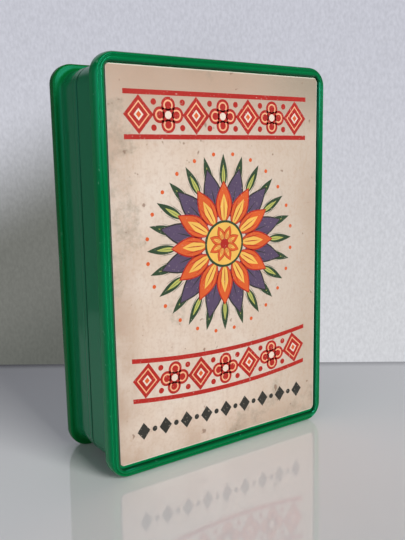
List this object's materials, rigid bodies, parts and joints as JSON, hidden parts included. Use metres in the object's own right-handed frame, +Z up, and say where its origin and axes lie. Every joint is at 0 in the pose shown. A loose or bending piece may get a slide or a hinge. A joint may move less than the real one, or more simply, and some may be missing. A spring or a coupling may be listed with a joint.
{
  "type": "quartet card deck",
  "caption": "Loose game cards in a moulded plastic box that stands on its short edge; a rimmed lid with a recessed printed label pulls off a matching tray.",
  "frame": {"origin": "on the surface that the box stands on, under the middle of the box", "axes": "+X across the box to the right as seen from the label, +Y from the labelled lid to the tray's back, +Z up the height of the standing box"},
  "size_m": [0.0688, 0.0274, 0.1],
  "materials": {
    "green_plastic": "gloss",
    "label_paper": "matte",
    "card_board": "satin"
  },
  "bodies": {
    "tray": {"tray": "green_plastic"},
    "lid": {"lid": "green_plastic", "lid_label": "label_paper"},
    "card_01": {"card_01": "card_board"},
    "card_02": {"card_02": "card_board"},
    "card_03": {"card_03": "card_board"},
    "card_04": {"card_04": "card_board"},
    "card_05": {"card_05": "card_board"},
    "card_06": {"card_06": "card_board"},
    "card_07": {"card_07": "card_board"},
    "card_08": {"card_08": "card_board"},
    "card_09": {"card_09": "card_board"},
    "card_10": {"card_10": "card_board"},
    "card_11": {"card_11": "card_board"},
    "card_12": {"card_12": "card_board"},
    "card_13": {"card_13": "card_board"},
    "card_14": {"card_14": "card_board"},
    "card_15": {"card_15": "card_board"},
    "card_16": {"card_16": "card_board"},
    "card_17": {"card_17": "card_board"},
    "card_18": {"card_18": "card_board"},
    "card_19": {"card_19": "card_board"},
    "card_20": {"card_20": "card_board"},
    "card_21": {"card_21": "card_board"},
    "card_22": {"card_22": "card_board"},
    "card_23": {"card_23": "card_board"},
    "card_24": {"card_24": "card_board"},
    "card_25": {"card_25": "card_board"},
    "card_26": {"card_26": "card_board"},
    "card_27": {"card_27": "card_board"},
    "card_28": {"card_28": "card_board"},
    "card_29": {"card_29": "card_board"},
    "card_30": {"card_30": "card_board"},
    "card_31": {"card_31": "card_board"},
    "card_32": {"card_32": "card_board"}
  },
  "joints": [
    {"name": "box_lid_pull", "type": "slide", "parent": "card_01", "child": "lid", "axis": [0, -1, 0], "range_m": [0, 0.04]},
    {"name": "card_01_lift", "type": "slide", "parent": "card_02", "child": "card_01", "axis": [0, -1, 0], "range_m": [0, 0.016]},
    {"name": "card_02_lift", "type": "slide", "parent": "card_03", "child": "card_02", "axis": [0, -1, 0], "range_m": [0, 0.016]},
    {"name": "card_03_lift", "type": "slide", "parent": "card_04", "child": "card_03", "axis": [0, -1, 0], "range_m": [0, 0.016]},
    {"name": "card_04_lift", "type": "slide", "parent": "card_05", "child": "card_04", "axis": [0, -1, 0], "range_m": [0, 0.016]},
    {"name": "card_05_lift", "type": "slide", "parent": "card_06", "child": "card_05", "axis": [0, -1, 0], "range_m": [0, 0.016]},
    {"name": "card_06_lift", "type": "slide", "parent": "card_07", "child": "card_06", "axis": [0, -1, 0], "range_m": [0, 0.016]},
    {"name": "card_07_lift", "type": "slide", "parent": "card_08", "child": "card_07", "axis": [0, -1, 0], "range_m": [0, 0.016]},
    {"name": "card_08_lift", "type": "slide", "parent": "card_09", "child": "card_08", "axis": [0, -1, 0], "range_m": [0, 0.016]},
    {"name": "card_09_lift", "type": "slide", "parent": "card_10", "child": "card_09", "axis": [0, -1, 0], "range_m": [0, 0.016]},
    {"name": "card_10_lift", "type": "slide", "parent": "card_11", "child": "card_10", "axis": [0, -1, 0], "range_m": [0, 0.016]},
    {"name": "card_11_lift", "type": "slide", "parent": "card_12", "child": "card_11", "axis": [0, -1, 0], "range_m": [0, 0.016]},
    {"name": "card_12_lift", "type": "slide", "parent": "card_13", "child": "card_12", "axis": [0, -1, 0], "range_m": [0, 0.016]},
    {"name": "card_13_lift", "type": "slide", "parent": "card_14", "child": "card_13", "axis": [0, -1, 0], "range_m": [0, 0.016]},
    {"name": "card_14_lift", "type": "slide", "parent": "card_15", "child": "card_14", "axis": [0, -1, 0], "range_m": [0, 0.016]},
    {"name": "card_15_lift", "type": "slide", "parent": "card_16", "child": "card_15", "axis": [0, -1, 0], "range_m": [0, 0.016]},
    {"name": "card_16_lift", "type": "slide", "parent": "card_17", "child": "card_16", "axis": [0, -1, 0], "range_m": [0, 0.016]},
    {"name": "card_17_lift", "type": "slide", "parent": "card_18", "child": "card_17", "axis": [0, -1, 0], "range_m": [0, 0.016]},
    {"name": "card_18_lift", "type": "slide", "parent": "card_19", "child": "card_18", "axis": [0, -1, 0], "range_m": [0, 0.016]},
    {"name": "card_19_lift", "type": "slide", "parent": "card_20", "child": "card_19", "axis": [0, -1, 0], "range_m": [0, 0.016]},
    {"name": "card_20_lift", "type": "slide", "parent": "card_21", "child": "card_20", "axis": [0, -1, 0], "range_m": [0, 0.016]},
    {"name": "card_21_lift", "type": "slide", "parent": "card_22", "child": "card_21", "axis": [0, -1, 0], "range_m": [0, 0.016]},
    {"name": "card_22_lift", "type": "slide", "parent": "card_23", "child": "card_22", "axis": [0, -1, 0], "range_m": [0, 0.016]},
    {"name": "card_23_lift", "type": "slide", "parent": "card_24", "child": "card_23", "axis": [0, -1, 0], "range_m": [0, 0.016]},
    {"name": "card_24_lift", "type": "slide", "parent": "card_25", "child": "card_24", "axis": [0, -1, 0], "range_m": [0, 0.016]},
    {"name": "card_25_lift", "type": "slide", "parent": "card_26", "child": "card_25", "axis": [0, -1, 0], "range_m": [0, 0.016]},
    {"name": "card_26_lift", "type": "slide", "parent": "card_27", "child": "card_26", "axis": [0, -1, 0], "range_m": [0, 0.016]},
    {"name": "card_27_lift", "type": "slide", "parent": "card_28", "child": "card_27", "axis": [0, -1, 0], "range_m": [0, 0.016]},
    {"name": "card_28_lift", "type": "slide", "parent": "card_29", "child": "card_28", "axis": [0, -1, 0], "range_m": [0, 0.016]},
    {"name": "card_29_lift", "type": "slide", "parent": "card_30", "child": "card_29", "axis": [0, -1, 0], "range_m": [0, 0.016]},
    {"name": "card_30_lift", "type": "slide", "parent": "card_31", "child": "card_30", "axis": [0, -1, 0], "range_m": [0, 0.016]},
    {"name": "card_31_lift", "type": "slide", "parent": "card_32", "child": "card_31", "axis": [0, -1, 0], "range_m": [0, 0.016]},
    {"name": "card_32_lift", "type": "slide", "parent": "tray", "child": "card_32", "axis": [0, -1, 0], "range_m": [0, 0.016]}
  ]
}
